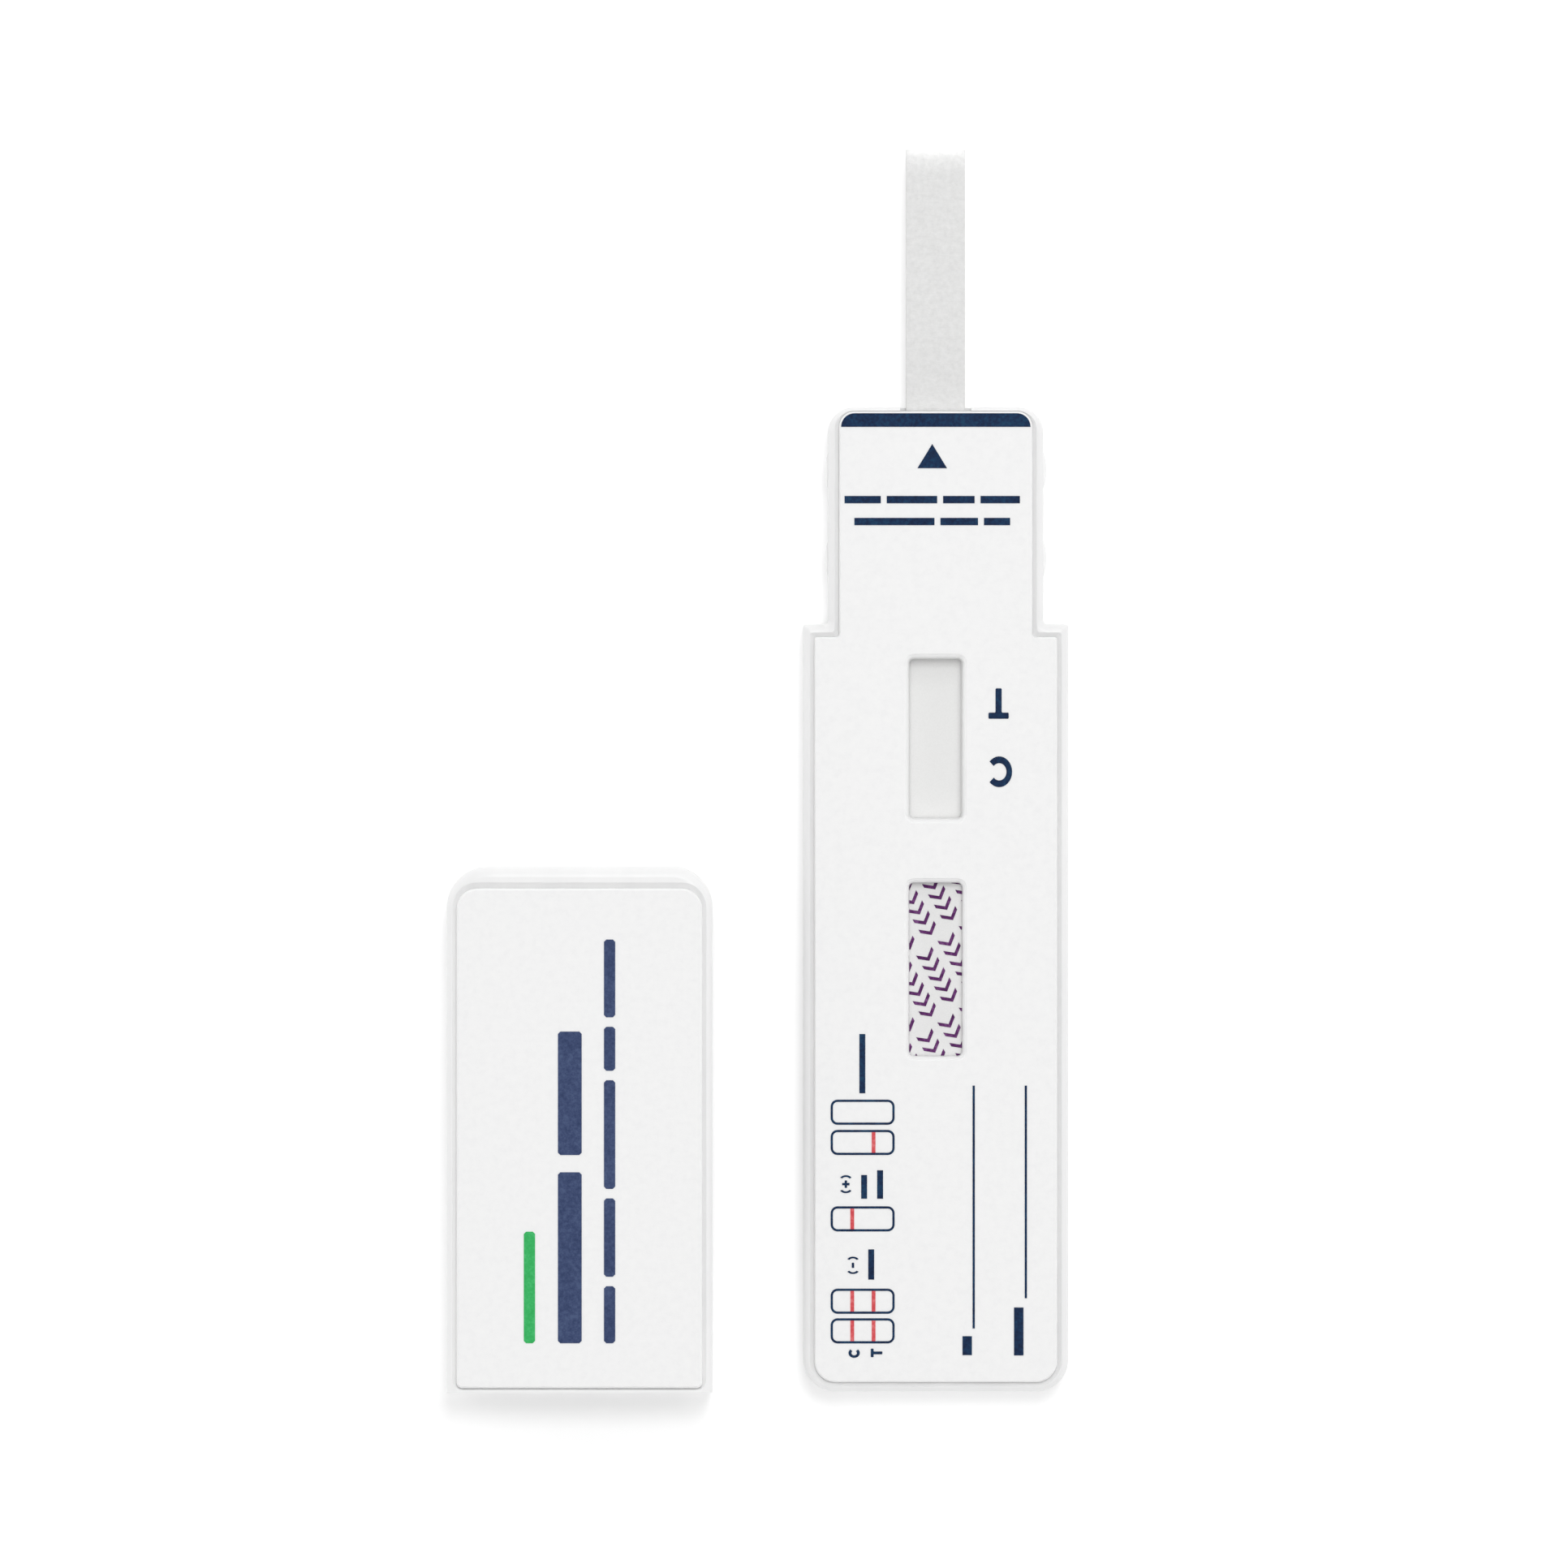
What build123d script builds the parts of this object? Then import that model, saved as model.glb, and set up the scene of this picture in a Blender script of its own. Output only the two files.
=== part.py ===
from build123d import *

import math
import os

# A single-strip dip card for testing urine: a flat two-part moulded housing with a narrower
# neck, one test strip whose sample pad sticks out of the neck, and the cap taken off and laid
# beside it. The card lies face up. The origin is the middle of the housing's flat back face,
# +Y points to the strip's tip and +Z out of the printed front. All sizes are in millimetres.

# Housing outline, seen from the front
body_width = 22.4
body_length = 64.8
body_corner = 2.7
shoulder_corner = 0.25
neck_length = 18.3
neck_corner = 2.1
root_corner = 0.35

# Housing walls and edges
back_wall = 1.0
side_wall = 1.2
front_wall = 1.25
front_round = 0.7
back_round = 0.6
seam_chamfer = 0.12

# Label panel, raised on the front of the housing, and the rims left round it
panel_step = 0.2
panel_bevel = 0.1
panel_side_rim = 0.95
panel_shoulder_rim = 1.1
panel_foot_rim = 0.8
panel_end_rim = 0.35
panel_foot_corner = 1.8
panel_end_corner = 1.3
panel_root_corner = 0.3

# Dip in the rim, which falls towards the label panel
dip_width = 0.4
dip_end_width = 0.15
dip_depth = 0.3

# Retaining bumps on the sides of the neck, measured from the shoulder
bump_height = 0.27
bump_length = 3.1
bump_reach = 1.1
bump_distances = (5.55, 13.0)

# Shallow recess at the foot, across the seam, that keeps the moulding gate's stub in
gate_width = 2.8
gate_depth = 0.15
gate_reach = 1.0

# Joint between the shells: a tongue on the front one in a groove in the back one
groove_depth = 0.6
groove_width = 0.6
tongue_fit = 0.1

# Six-sided snap pins of the front shell, and their round sockets in eight-sided bosses
pin_radius = 0.75
pin_sides = 6
pin_fit = 0.05
pin_tip_gap = 0.15
pin_chamfer = 0.2
boss_radius = 1.55
boss_sides = 8
boss_gap = 0.1
pin_margin = 6.0
pin_rows = 3

# Test strip, from its tip: sample pad, conjugate pad, membrane and absorbent pad, each
# lapping over the next, on one backing card
strip_width = 5.0
strip_reach = 21.85
card_thickness = 0.25
sample_length = 30.0
sample_thickness = 1.0
sample_tip_round = 0.85
conjugate_length = 10.0
conjugate_thickness = 0.35
membrane_length = 25.0
membrane_thickness = 0.15
absorbent_length = 21.0
absorbent_thickness = 0.9
tape_thickness = 0.06
strip_lap = 2.0
strip_headroom = 0.25

# Strip channel in the back shell
bed_height = 1.0
bed_bar_width = 1.0
bed_bar_pitch = 6.0
rail_gap = 0.15
rail_width = 0.7
rail_drop = 0.05
stop_gap = 0.2
stop_width = 0.8
slot_width = 6.0
slot_gap = 0.15
slot_notch = 0.3

# Bars inside the front shell that hold the strip down where its layers meet
press_width = 1.0
press_gap = 0.05

# Windows, which taper towards the strip, and the wells round them
window_width = 4.65
window_corner = 0.5
window_draft = 4.0
window_bevel = 0.15
window_gap = 0.1
well_wall = 0.8
result_head_margin = 4.95
result_foot_margin = 2.35
tape_head_margin = 2.9
tape_foot_margin = 3.3

# Labels
label_thickness = 0.15
label_inset = 0.1
label_window_margin = 0.12

# Cap, whose outside is flush with the body, so its walls make the neck narrower
cap_clearance = 0.15
cap_side_wall = 1.95
cap_wall = 0.9
cap_end_wall = 1.9
cap_tip_gap = 2.3
cap_corner = 3.5
cap_round = 0.9
cap_bore_corner = 0.5
cap_lead_in = 0.3
cap_groove_fit = 0.08
cap_distance = 7.65
cap_panel_side_rim = 0.85
cap_panel_end_rim = 1.85
cap_panel_mouth_rim = 0.4
cap_panel_end_corner = 1.75
cap_panel_mouth_corner = 0.5
cap_dip_width = 0.5

# Print on the front label, measured from the label's end, foot and nearer side
print_thickness = 0.03
print_edge = 0.06
band_width = 1.15
arrow_width = 2.5
arrow_height = 2.05
arrow_drop = 2.65
print_offset = -0.3
note_shares = ((0.23, 0.32, 0.2, 0.25), (0.49, 0.23, 0.16))
note_margin = 0.65
note_drop = 7.35
note_pitch = 1.85
note_height = 0.62
note_gap = 0.5
legend_margin = 1.35
legend_width = 5.25
legend_height = 1.97
legend_corner = 0.35
legend_line = 0.15
legend_places = (22.7, 20.15, 13.7, 6.75, 4.25)
result_line_width = 0.32
control_line_place = 1.75
test_line_place = 3.55
control_shown = (False, False, True, True, True)
test_shown = (False, True, False, True, True)
rule_margins = (6.95, 2.55)
rule_top = 24.95
rule_feet = (4.45, 7.0)
rule_width = 0.14
caption_height = 0.5
caption_bars = ((3.95, 26.8, 5.0), (4.1, 16.4, 2.0), (5.45, 16.6, 2.4), (4.7, 9.85, 2.55))
rule_caption_height = 0.8
rule_caption_bars = ((7.5, 3.0, 1.6), (3.15, 4.2, 4.05))

# Print on the strip's tape: slanted rows of small arrowheads
mark_stroke = 0.35
mark_length = 0.95
mark_spread = 1.5
mark_pitch = 1.0
marks_in_row = 5
row_slant = -60.0
row_shift = (1.8, 1.25)
row_pitch = 6.9

# Print on the cap label: bars measured from the label's mouth end and centre line
cap_print_foot = 3.7
cap_print_gap = 0.8
accent_place = -4.2
accent_height = 0.95
accent_lengths = (9.4,)
title_place = -0.8
title_height = 2.0
title_gap = 1.45
title_lengths = (14.4, 10.4)
subtitle_place = 2.55
subtitle_height = 0.95
subtitle_lengths = (4.8, 6.6, 9.15, 3.7, 6.55)
cap_print_corner = 0.2

# Neck, which the cap goes over
neck_width = body_width - 2 * (cap_side_wall + cap_clearance)

# Places along Y
end_y = (body_length + neck_length) / 2
foot_y = -end_y
shoulder_y = end_y - neck_length
strip_tip = end_y + strip_reach
sample_foot = strip_tip - sample_length
conjugate_head = sample_foot + strip_lap
conjugate_foot = conjugate_head - conjugate_length
membrane_head = conjugate_foot + strip_lap
membrane_foot = membrane_head - membrane_length
absorbent_head = membrane_foot + strip_lap
strip_foot = absorbent_head - absorbent_length
result_head = conjugate_foot - result_head_margin
result_foot = absorbent_head + result_foot_margin
tape_head = absorbent_head - tape_head_margin
tape_foot = strip_foot + tape_foot_margin

# Heights, stacked up from the table
bed_top = back_wall + bed_height
card_top = bed_top + card_thickness
conjugate_top = card_top + conjugate_thickness
membrane_top = card_top + membrane_thickness
sample_top = card_top + sample_thickness
absorbent_top = card_top + absorbent_thickness
tape_top = absorbent_top + tape_thickness
ceiling = max(sample_top, tape_top, conjugate_top) + strip_headroom
seam = membrane_top
panel_top = ceiling + front_wall
rim_top = panel_top - panel_step
label_top = panel_top + label_thickness
rail_top = seam - rail_drop
slot_floor = bed_top - slot_gap
slot_ceiling = sample_top + slot_gap

# Widths shared by several pieces
bump_radius = (bump_length**2 / 4 + bump_height**2) / (2 * bump_height)
bump_centre = neck_width / 2 + bump_height - bump_radius
gate_radius = (gate_width**2 / 4 + gate_depth**2) / (2 * gate_depth)
gate_centre = foot_y + gate_depth - gate_radius
channel_width = strip_width + 2 * rail_gap
rail_edge = channel_width / 2 + rail_width
pin_x = (body_width / 2 - side_wall + rail_edge) / 2
neck_pin_x = (neck_width / 2 - side_wall + rail_edge) / 2
pin_pitch = (body_length - 2 * pin_margin) / (pin_rows - 1)
label_end = end_y - panel_end_rim - label_inset
label_foot = foot_y + panel_foot_rim + label_inset
label_side = body_width / 2 - panel_side_rim - label_inset
label_neck_side = neck_width / 2 - panel_side_rim - label_inset

# Cap, a sleeve lying beside the card with its mouth level with the card's foot
cap_bore_width = neck_width + 2 * cap_clearance
cap_bore_height = label_top + 2 * cap_clearance
cap_bore_depth = neck_length + strip_reach + cap_tip_gap
cap_length = cap_bore_depth + cap_end_wall
cap_x = -(body_width + cap_distance)
cap_end_y = foot_y + cap_length
cap_rim_top = cap_bore_height + 2 * cap_wall
cap_panel_top = cap_rim_top + panel_step
cap_label_top = cap_panel_top + label_thickness

# Windows as (head, foot, height of the strip's surface below)
windows = (
    (result_head, result_foot, membrane_top),
    (tape_head, tape_foot, tape_top),
)

# Pin places as (x, y)
pin_places = [
    (side * pin_x, foot_y + pin_margin + row * pin_pitch)
    for side in (-1, 1)
    for row in range(pin_rows)
]
pin_places += [(side * neck_pin_x, (shoulder_y + end_y) / 2) for side in (-1, 1)]

# Bump places as (x, y)
bump_places = [
    (side * bump_centre, shoulder_y + distance)
    for side in (-1, 1)
    for distance in bump_distances
]


def draw_tee(body, neck, foot, shoulder, end, foot_corner, end_corner, root):
    """Draws the card's outline in the open sketch: a wide body with a narrower neck."""
    with Locations((0, (foot + shoulder) / 2)):
        Rectangle(body, shoulder - foot)
    with Locations((0, (foot + end) / 2)):
        Rectangle(neck, end - foot)
    at_shoulder = vertices().group_by(Axis.Y)[1].sort_by(Axis.X)
    fillet(at_shoulder[1:3], root)
    for side in (0, -1):
        fillet(vertices().group_by(Axis.X)[side].sort_by(Axis.Y)[-1], shoulder_corner)
    fillet(vertices().group_by(Axis.Y)[0], foot_corner)
    fillet(vertices().group_by(Axis.Y)[-1], end_corner)


def draw_housing():
    """Draws the housing's outline in the open sketch."""
    draw_tee(
        body_width, neck_width, foot_y, shoulder_y, end_y, body_corner, neck_corner, root_corner
    )


def draw_panel(inset, end_inset):
    """Draws the label panel's outline in the open sketch, drawn in, with its own inset at the end."""
    margin = 2 * (panel_side_rim + inset)
    draw_tee(
        body_width - margin,
        neck_width - margin,
        foot_y + panel_foot_rim + inset,
        shoulder_y - panel_shoulder_rim - inset,
        end_y - panel_end_rim - end_inset,
        panel_foot_corner - inset,
        panel_end_corner - inset,
        panel_root_corner,
    )


def draw_window(head, foot, margin, mode=Mode.ADD):
    """Draws a window's outline in the open sketch, widened all round by a margin."""
    with Locations((0, (head + foot) / 2)):
        RectangleRounded(
            window_width + 2 * margin,
            head - foot + 2 * margin,
            window_corner + margin,
            mode=mode,
        )


def draw_bar(x, y, width, height):
    """Draws one printed bar in the open sketch."""
    with Locations((x, y)):
        Rectangle(width, height)


# Front shell: the label panel in its dip, two window wells, pressure bars, tongue and snap pins
with BuildPart() as front_shell:
    with BuildSketch(Plane.XY.offset(seam)):
        draw_housing()
    extrude(amount=rim_top - seam)
    fillet(front_shell.faces().sort_by(Axis.Z)[-1].edges(), front_round)
    with BuildSketch(Plane.XY.offset(rim_top)):
        draw_panel(-dip_width, -dip_end_width)
    with BuildSketch(Plane.XY.offset(rim_top - dip_depth)):
        draw_panel(0, 0)
    loft(ruled=True, mode=Mode.SUBTRACT)
    with BuildSketch(Plane.XY.offset(seam)):
        draw_panel(0, 0)
    extrude(amount=panel_top - seam)
    chamfer(front_shell.faces().sort_by(Axis.Z)[-1].edges(), panel_bevel)
    with BuildSketch(Plane.XY.offset(seam)):
        with Locations(bump_places):
            Circle(bump_radius)
    extrude(amount=bump_reach)
    with BuildSketch(Plane.XY.offset(seam)):
        with Locations((0, gate_centre)):
            Circle(gate_radius)
    extrude(amount=gate_reach, mode=Mode.SUBTRACT)
    chamfer(front_shell.faces().sort_by(Axis.Z)[0].edges(), seam_chamfer)

    # Hollow inside, up to the ceiling over the strip
    with BuildSketch(Plane.XY.offset(seam)):
        draw_housing()
        offset(amount=-side_wall)
    extrude(amount=ceiling - seam, mode=Mode.SUBTRACT)

    # Tongue round the seam
    with BuildSketch(Plane.XY.offset(seam - groove_depth + tongue_fit)):
        draw_housing()
        offset(amount=-(side_wall - groove_width + tongue_fit))
    extrude(amount=ceiling - seam + groove_depth - tongue_fit)
    with BuildSketch(Plane.XY.offset(seam - groove_depth)):
        draw_housing()
        offset(amount=-side_wall)
    extrude(amount=ceiling - seam + groove_depth, mode=Mode.SUBTRACT)

    # Slot for the strip, and the notch in the rim over it
    with BuildSketch(Plane.XY.offset(seam - groove_depth)):
        with Locations((0, end_y)):
            Rectangle(slot_width, 2 * (side_wall + tongue_fit))
    extrude(amount=slot_ceiling - seam + groove_depth, mode=Mode.SUBTRACT)
    with BuildSketch(Plane.XY.offset(slot_floor)):
        with Locations((0, end_y)):
            Rectangle(slot_width, 2 * slot_notch)
    extrude(amount=panel_top - slot_floor, mode=Mode.SUBTRACT)

    # Pressure bars over the laps and the strip's inner end
    for bar_y, layer_top in (
        ((sample_foot + conjugate_head) / 2, sample_top),
        ((conjugate_foot + membrane_head) / 2, conjugate_top),
        ((membrane_foot + absorbent_head) / 2, tape_top),
        (strip_foot + press_width, tape_top),
    ):
        with BuildSketch(Plane.XY.offset(layer_top + press_gap)):
            with Locations((0, bar_y)):
                Rectangle(strip_width, press_width)
        extrude(amount=ceiling - layer_top - press_gap)

    # Window wells, then the tapering windows cut through them
    for head, foot, surface in windows:
        with BuildSketch(Plane.XY.offset(surface + window_gap)):
            draw_window(head, foot, well_wall)
        extrude(amount=ceiling - surface - window_gap)
    for head, foot, surface in windows:
        with BuildSketch(Plane.XY.offset(panel_top)):
            draw_window(head, foot, 0)
        extrude(amount=surface - panel_top, taper=window_draft, mode=Mode.SUBTRACT)
    panel_face = front_shell.faces().filter_by(Axis.Z).sort_by(Axis.Z)[-1]
    window_edges = [edge for wire in panel_face.inner_wires() for edge in wire.edges()]
    chamfer(window_edges, window_bevel)

    # Snap pins
    with BuildSketch(Plane.XY.offset(back_wall + pin_tip_gap)):
        with Locations(pin_places):
            RegularPolygon(pin_radius, pin_sides)
    extrude(amount=ceiling - back_wall - pin_tip_gap)
    pin_tips = front_shell.faces().filter_by(Axis.Z).group_by(Axis.Z)[0].edges()
    chamfer(pin_tips, pin_chamfer)

front_shell.part.label = "front_shell"

# Inner edge of the groove in the back shell
with BuildSketch() as groove_inside:
    draw_housing()
    offset(amount=-(side_wall + tongue_fit))

# Back shell: the strip channel with its bed bars, the sockets and the groove for the tongue
with BuildPart() as back_shell:
    with BuildSketch():
        draw_housing()
    extrude(amount=seam)
    fillet(back_shell.faces().sort_by(Axis.Z)[0].edges(), back_round)
    with BuildSketch(Plane.XY.offset(seam - bump_reach)):
        with Locations(bump_places):
            Circle(bump_radius)
    extrude(amount=bump_reach)
    with BuildSketch(Plane.XY.offset(seam - gate_reach)):
        with Locations((0, gate_centre)):
            Circle(gate_radius)
    extrude(amount=gate_reach, mode=Mode.SUBTRACT)
    chamfer(back_shell.faces().sort_by(Axis.Z)[-1].edges(), seam_chamfer)

    # Hollow inside
    with BuildSketch(Plane.XY.offset(back_wall)):
        draw_housing()
        offset(amount=-side_wall)
    extrude(amount=seam - back_wall, mode=Mode.SUBTRACT)

    # Rails and end stop that hold the strip sideways and lengthways
    channel_head = end_y - side_wall
    channel_foot = strip_foot - stop_gap
    with BuildSketch(Plane.XY.offset(back_wall)):
        with Locations((0, (channel_head + channel_foot - stop_width) / 2)):
            Rectangle(2 * rail_edge, channel_head - channel_foot + stop_width)
        with Locations((0, (channel_head + channel_foot) / 2)):
            Rectangle(channel_width, channel_head - channel_foot, mode=Mode.SUBTRACT)
    extrude(amount=rail_top - back_wall)

    # Bed bars under the strip
    bar_count = int((channel_head - strip_foot) / bed_bar_pitch)
    bed_middle = (channel_head + strip_foot) / 2
    with BuildSketch(Plane.XY.offset(back_wall)):
        with Locations((0, bed_middle)):
            with GridLocations(0, bed_bar_pitch, 1, bar_count):
                Rectangle(channel_width, bed_bar_width)
    extrude(amount=bed_height)

    # Slot for the strip in the end wall
    with BuildSketch(Plane.XY.offset(slot_floor)):
        with Locations((0, end_y)):
            Rectangle(slot_width, 2 * side_wall)
    extrude(amount=seam - slot_floor, mode=Mode.SUBTRACT)

    # Sockets
    with BuildSketch(Plane.XY.offset(back_wall)):
        with Locations(pin_places):
            RegularPolygon(boss_radius, boss_sides)
            Circle(pin_radius + pin_fit, mode=Mode.SUBTRACT)
    extrude(amount=seam - back_wall - boss_gap)

    # Groove along the inner edge of the wall
    with BuildSketch(Plane.XY.offset(seam - groove_depth)):
        draw_housing()
        offset(amount=-(side_wall - groove_width))
        add(groove_inside.sketch, mode=Mode.SUBTRACT)
    extrude(amount=groove_depth, mode=Mode.SUBTRACT)

back_shell.part.label = "back_shell"


def lapped_profile(plain_end, lap_end, top, lap_top):
    """Gives the side outline of a strip layer that is flat on top and laps over its neighbour."""
    lap_start = lap_end + math.copysign(strip_lap, plain_end - lap_end)
    return (
        (plain_end, card_top),
        (lap_start, card_top),
        (lap_start, lap_top),
        (lap_end, lap_top),
        (lap_end, top),
        (plain_end, top),
    )


# Backing card under the whole strip
with BuildPart() as backing_card:
    with BuildSketch(Plane.XY.offset(bed_top)):
        with Locations((0, (strip_tip + strip_foot) / 2)):
            Rectangle(strip_width, strip_tip - strip_foot)
    extrude(amount=card_thickness)

backing_card.part.label = "backing_card"

# Sample pad, curved over at its tip, with its inner end pressed onto the conjugate pad
with BuildPart() as sample_pad:
    with BuildSketch(Plane.YZ):
        with BuildLine():
            Polyline(
                *lapped_profile(strip_tip, sample_foot, sample_top, conjugate_top), close=True
            )
        make_face()
    extrude(amount=strip_width / 2, both=True)
    tip_edge = sample_pad.edges().filter_by(Axis.X).group_by(Axis.Y)[-1].sort_by(Axis.Z)[-1]
    fillet(tip_edge, sample_tip_round)

sample_pad.part.label = "sample_pad"

# Conjugate pad, with its inner end on the membrane
with BuildPart() as conjugate_pad:
    with BuildSketch(Plane.YZ):
        with BuildLine():
            Polyline(
                *lapped_profile(conjugate_head, conjugate_foot, conjugate_top, membrane_top),
                close=True,
            )
        make_face()
    extrude(amount=strip_width / 2, both=True)

conjugate_pad.part.label = "conjugate_pad"

# Membrane, the test surface under the result window
with BuildPart() as membrane:
    with BuildSketch(Plane.XY.offset(card_top)):
        with Locations((0, (membrane_head + membrane_foot) / 2)):
            Rectangle(strip_width, membrane_length)
    extrude(amount=membrane_thickness)

membrane.part.label = "membrane"

# Absorbent pad, lapping over the membrane from the other side
with BuildPart() as absorbent_pad:
    with BuildSketch(Plane.YZ):
        with BuildLine():
            Polyline(
                *lapped_profile(strip_foot, absorbent_head, absorbent_top, membrane_top),
                close=True,
            )
        make_face()
    extrude(amount=strip_width / 2, both=True)

absorbent_pad.part.label = "absorbent_pad"

# Printed tape over the absorbent pad, seen through the lower window
with BuildPart() as cover_tape:
    with BuildSketch(Plane.XY.offset(absorbent_top)):
        with Locations((0, (absorbent_head + strip_foot) / 2)):
            Rectangle(strip_width, absorbent_length)
    extrude(amount=tape_thickness)

cover_tape.part.label = "cover_tape"

# Arrowheads printed on the tape, in slanted rows of a few
slant = math.radians(row_slant)
mark_steps = [step - (marks_in_row - 1) / 2 for step in range(marks_in_row)]
rows_up = math.ceil(absorbent_length / row_pitch)
rows_across = math.ceil(strip_width / row_shift[0])
mark_places = [
    Location(
        (
            across * row_shift[0] + step * mark_pitch * math.cos(slant),
            (absorbent_head + strip_foot) / 2
            + up * row_pitch
            + across * row_shift[1]
            + step * mark_pitch * math.sin(slant),
        ),
        row_slant,
    )
    for up in range(-rows_up, rows_up + 1)
    for across in range(-rows_across, rows_across + 1)
    for step in mark_steps
]
with BuildPart() as tape_print:
    with BuildSketch(Plane.XY.offset(tape_top)):
        with Locations(mark_places):
            Polygon(
                (0, -mark_spread / 2),
                (mark_stroke, -mark_spread / 2),
                (mark_length, 0),
                (mark_stroke, mark_spread / 2),
                (0, mark_spread / 2),
                (mark_length - mark_stroke, 0),
            )
        with Locations((0, (absorbent_head + strip_foot) / 2)):
            Rectangle(
                strip_width - 2 * print_edge,
                absorbent_length - 2 * print_edge,
                mode=Mode.INTERSECT,
            )
    extrude(amount=print_thickness)

tape_print.part.label = "tape_print"

# Front label, die-cut round both windows
with BuildPart() as front_label:
    with BuildSketch(Plane.XY.offset(panel_top)):
        draw_panel(label_inset, label_inset)
        for head, foot, _ in windows:
            draw_window(head, foot, window_bevel + label_window_margin, Mode.SUBTRACT)
    extrude(amount=label_thickness)

front_label.part.label = "front_label"

# One box of the result legend
with BuildSketch() as legend_box:
    Rectangle(legend_width + legend_line, legend_height + legend_line)
    chamfer(vertices(), legend_corner)
    offset(amount=-legend_line, mode=Mode.SUBTRACT)

# Dark print on the front label: end band, arrow, note bars, result legend and writing rules
legend_left = legend_margin - label_side
with BuildPart() as front_print_navy:
    with BuildSketch(Plane.XY.offset(label_top)):
        draw_panel(label_inset + print_edge, label_inset + print_edge)
        with Locations((0, label_end - print_edge - band_width / 2)):
            Rectangle(neck_width, band_width, mode=Mode.INTERSECT)
        arrow_tip = label_end - arrow_drop
        with Locations((print_offset, arrow_tip)):
            Polygon(
                (0, 0),
                (-arrow_width / 2, -arrow_height),
                (arrow_width / 2, -arrow_height),
                align=None,
            )
        for line, shares in enumerate(note_shares):
            gaps = note_gap * (len(shares) - 1)
            room = 2 * (label_neck_side - note_margin) - gaps
            bar_left = print_offset - (sum(shares) * room + gaps) / 2
            for share in shares:
                bar_y = label_end - note_drop - line * note_pitch
                draw_bar(bar_left + share * room / 2, bar_y, share * room, note_height)
                bar_left += share * room + note_gap
        for place in legend_places:
            with Locations((legend_left + legend_width / 2, label_foot + place)):
                add(legend_box.sketch)
        for margin, rule_foot in zip(rule_margins, rule_feet):
            rule_y = label_foot + (rule_top + rule_foot) / 2
            draw_bar(label_side - margin, rule_y, rule_width, rule_top - rule_foot)
        for margin, place, length in caption_bars:
            draw_bar(margin - label_side, label_foot + place, caption_height, length)
        for margin, place, length in rule_caption_bars:
            draw_bar(label_side - margin, label_foot + place, rule_caption_height, length)
    extrude(amount=print_thickness)

front_print_navy.part.label = "front_print_navy"

# Red lines inside the result legend's boxes
with BuildPart() as front_print_red:
    with BuildSketch(Plane.XY.offset(label_top)):
        for column, shown in (
            (control_line_place, control_shown),
            (test_line_place, test_shown),
        ):
            for place, printed in zip(legend_places, shown):
                if printed:
                    draw_bar(
                        legend_left + column,
                        label_foot + place,
                        result_line_width,
                        legend_height - legend_line,
                    )
    extrude(amount=print_thickness)

front_print_red.part.label = "front_print_red"


def draw_cap_panel(inset, mouth_inset):
    """Draws the cap's label panel in the open sketch, drawn in, with its own inset at the mouth."""
    panel_foot = foot_y + cap_panel_mouth_rim + mouth_inset
    panel_end = cap_end_y - cap_panel_end_rim - inset
    with Locations((cap_x, (panel_foot + panel_end) / 2)):
        Rectangle(body_width - 2 * (cap_panel_side_rim + inset), panel_end - panel_foot)
    fillet(vertices().group_by(Axis.Y)[0], cap_panel_mouth_corner - inset)
    fillet(vertices().group_by(Axis.Y)[-1], cap_panel_end_corner - inset)


# Cap, with its label panel in a dip, closed round its end and open at its mouth
with BuildPart() as cap:
    with BuildSketch():
        with Locations((cap_x, foot_y + cap_length / 2)):
            Rectangle(body_width, cap_length)
        fillet(vertices().group_by(Axis.Y)[-1], cap_corner)
    extrude(amount=cap_rim_top)
    level_edges = cap.edges().group_by(Axis.Z)[0] + cap.edges().group_by(Axis.Z)[-1]
    mouth_edges = level_edges.group_by(Axis.Y)[0]
    fillet([edge for edge in level_edges if edge not in mouth_edges], cap_round)
    with BuildSketch(Plane.XY.offset(cap_rim_top)):
        draw_cap_panel(-cap_dip_width, -dip_end_width)
    with BuildSketch(Plane.XY.offset(cap_rim_top - dip_depth)):
        draw_cap_panel(0, 0)
    loft(ruled=True, mode=Mode.SUBTRACT)
    with BuildSketch(Plane.XY.offset(cap_wall)):
        draw_cap_panel(0, 0)
    extrude(amount=cap_panel_top - cap_wall)
    chamfer(cap.faces().sort_by(Axis.Z)[-1].edges(), panel_bevel)

    # Bore for the neck and the strip, with a lead-in at the mouth
    mouth_plane = Plane(
        origin=(cap_x, foot_y, cap_wall + cap_bore_height / 2), x_dir=(1, 0, 0), z_dir=(0, 1, 0)
    )
    with BuildSketch(mouth_plane):
        RectangleRounded(cap_bore_width, cap_bore_height, cap_bore_corner)
    extrude(amount=cap_bore_depth, mode=Mode.SUBTRACT)
    mouth_face = cap.faces().sort_by(Axis.Y)[0]
    chamfer(mouth_face.inner_wires()[0].edges(), cap_lead_in)

    # Grooves that the neck's bumps click into
    with BuildSketch(Plane.XY.offset(cap_wall)):
        for side in (-1, 1):
            for distance in bump_distances:
                with Locations((cap_x + side * bump_centre, foot_y + distance)):
                    Circle(bump_radius + cap_groove_fit)
    extrude(amount=cap_bore_height, mode=Mode.SUBTRACT)

cap.part.label = "cap"

# Cap label
with BuildPart() as cap_label:
    with BuildSketch(Plane.XY.offset(cap_panel_top)):
        draw_cap_panel(label_inset, label_inset)
    extrude(amount=label_thickness)

cap_label.part.label = "cap_label"


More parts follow.
